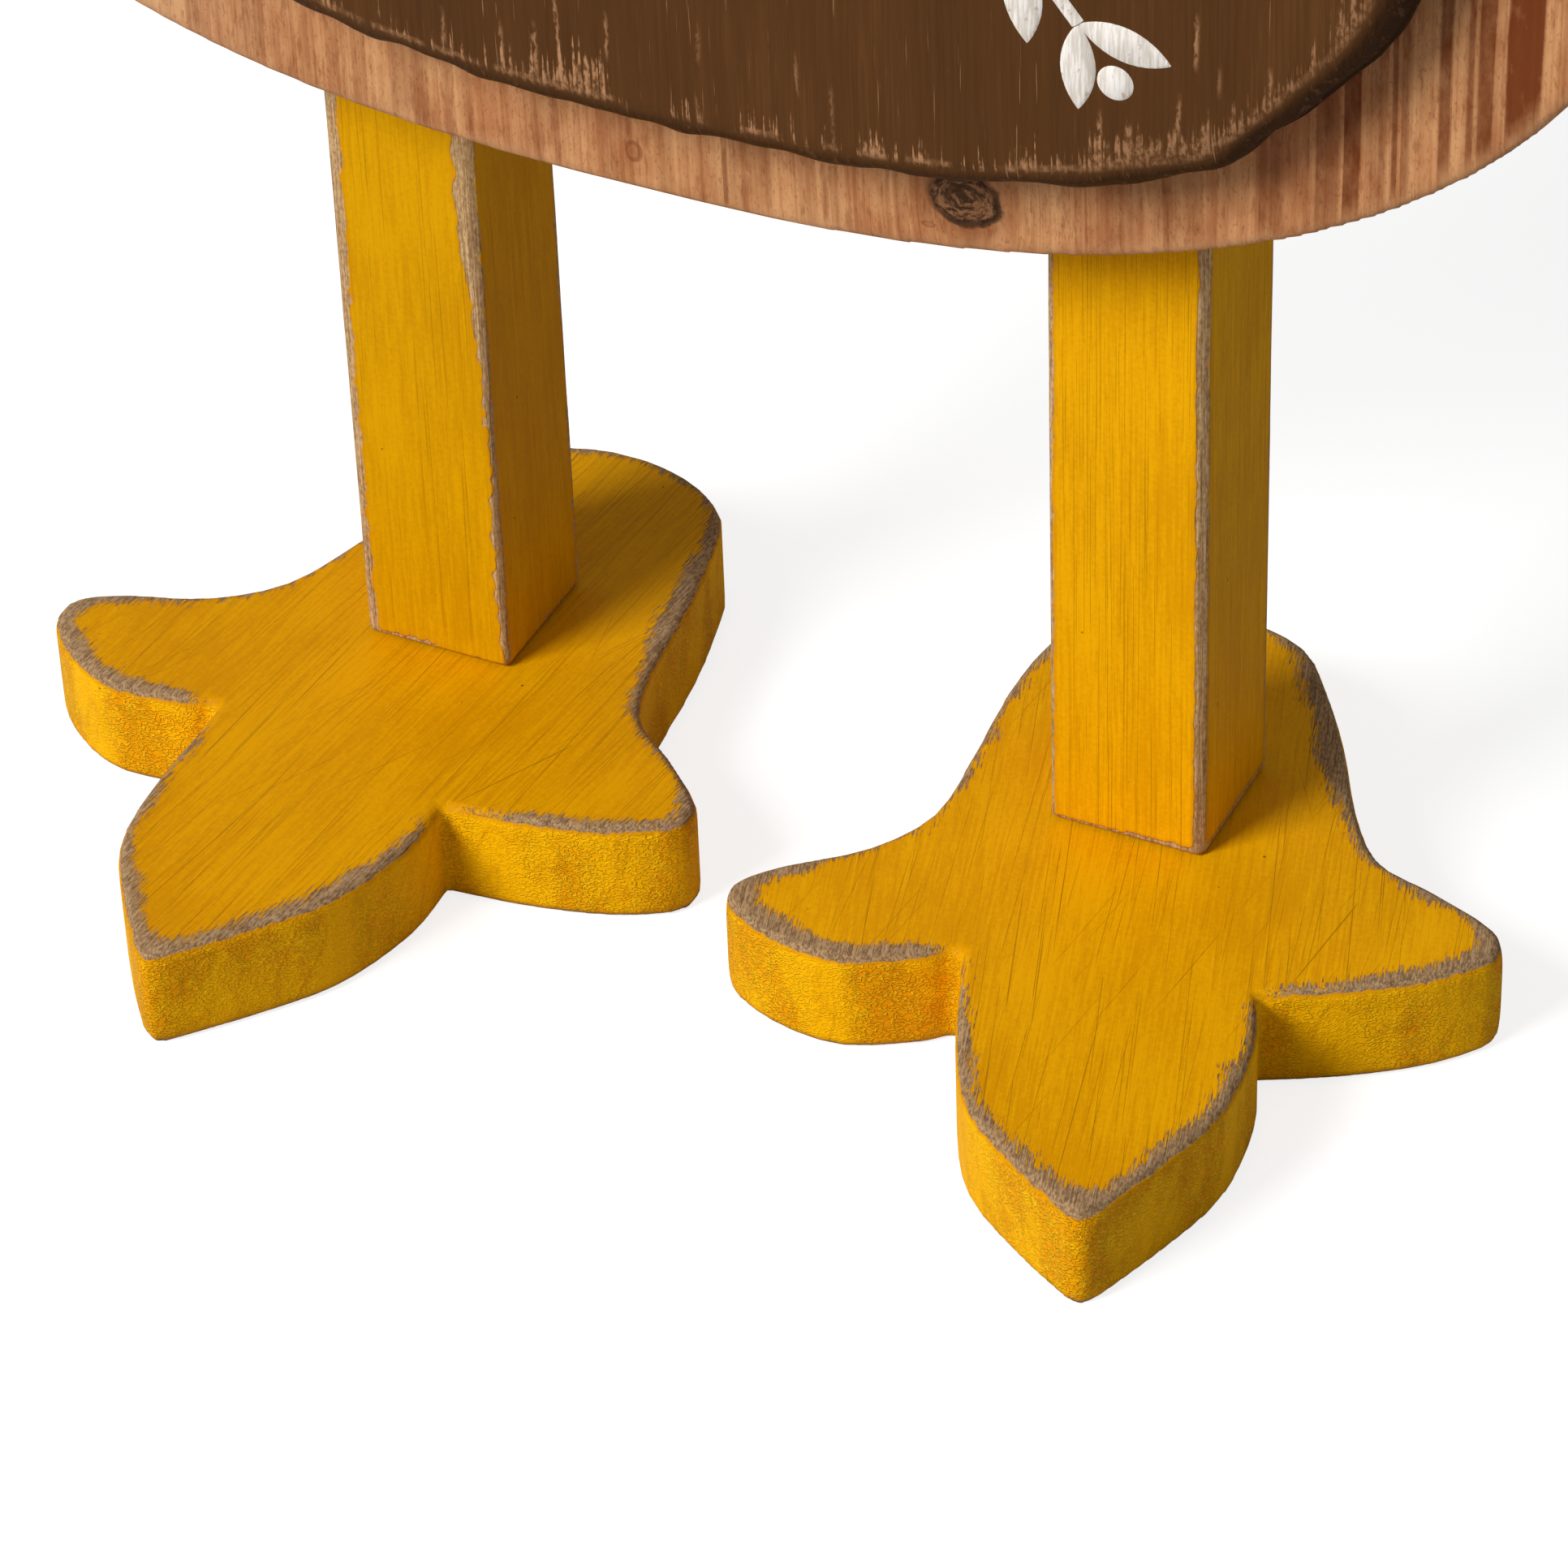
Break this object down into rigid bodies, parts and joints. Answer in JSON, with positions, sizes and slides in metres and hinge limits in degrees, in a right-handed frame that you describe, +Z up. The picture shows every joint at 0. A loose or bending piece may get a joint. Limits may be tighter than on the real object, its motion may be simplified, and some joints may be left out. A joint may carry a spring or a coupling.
{
  "type": "thanksgiving turkey figure",
  "caption": "Free-standing wooden turkey decoration: oval body with a painted breast panel, fan of feather boards, and square posts on toed feet.",
  "frame": {"origin": "on the floor, at the middle of the bounding box", "axes": "+Z up, the figure faces -Y, +X to the viewer's right"},
  "size_m": [0.4378, 0.1474, 0.4564],
  "materials": {
    "yellow_paint": "satin yellow paint on wood, brushed lengthwise, sanded through at the edges",
    "bare_wood": "bare softwood with reddish grain and a knot",
    "brown_paint": "matt dark brown paint, dry-brushed, rubbed back along the carved edge",
    "tan_paint": "matt tan-brown paint, sanded edges",
    "rust_paint": "matt rust-red paint, sanded edges",
    "orange_paint": "matt orange paint, sanded edges",
    "cream_paint": "matt cream paint, sanded edges",
    "red_paint": "satin red paint",
    "black_gloss": "black gloss buttons",
    "dowel_wood": "bare birch dowel",
    "screw_steel": "yellow zinc plating"
  },
  "bodies": {
    "root": {"left_post": "yellow_paint", "right_post": "yellow_paint", "left_foot": "yellow_paint", "right_foot": "yellow_paint", "body_board": "bare_wood", "front_panel": "brown_paint", "head_board": "tan_paint", "snood": "red_paint", "beak": "yellow_paint", "left_eye": "black_gloss", "right_eye": "black_gloss", "front_feather_1": "rust_paint", "front_feather_2": "orange_paint", "front_feather_3": "rust_paint", "front_feather_4": "orange_paint", "front_feather_5": "rust_paint", "back_feather_1": "cream_paint", "back_feather_2": "cream_paint", "back_feather_3": "cream_paint", "back_feather_4": "cream_paint", "left_foot_dowel_1": "dowel_wood", "left_foot_dowel_2": "dowel_wood", "left_foot_screw": "screw_steel", "left_post_screw_1": "screw_steel", "left_post_screw_2": "screw_steel", "right_foot_dowel_1": "dowel_wood", "right_foot_dowel_2": "dowel_wood", "right_foot_screw": "screw_steel", "right_post_screw_1": "screw_steel", "right_post_screw_2": "screw_steel", "panel_screw_1": "screw_steel", "panel_screw_2": "screw_steel", "panel_screw_3": "screw_steel", "panel_screw_4": "screw_steel", "head_screw_1": "screw_steel", "head_screw_2": "screw_steel", "front_feather_screw_1": "screw_steel", "front_feather_screw_2": "screw_steel", "front_feather_screw_3": "screw_steel", "front_feather_screw_4": "screw_steel", "front_feather_screw_5": "screw_steel", "back_feather_screw_1": "screw_steel", "back_feather_screw_2": "screw_steel", "back_feather_screw_3": "screw_steel", "back_feather_screw_4": "screw_steel"}
  },
  "joints": []
}
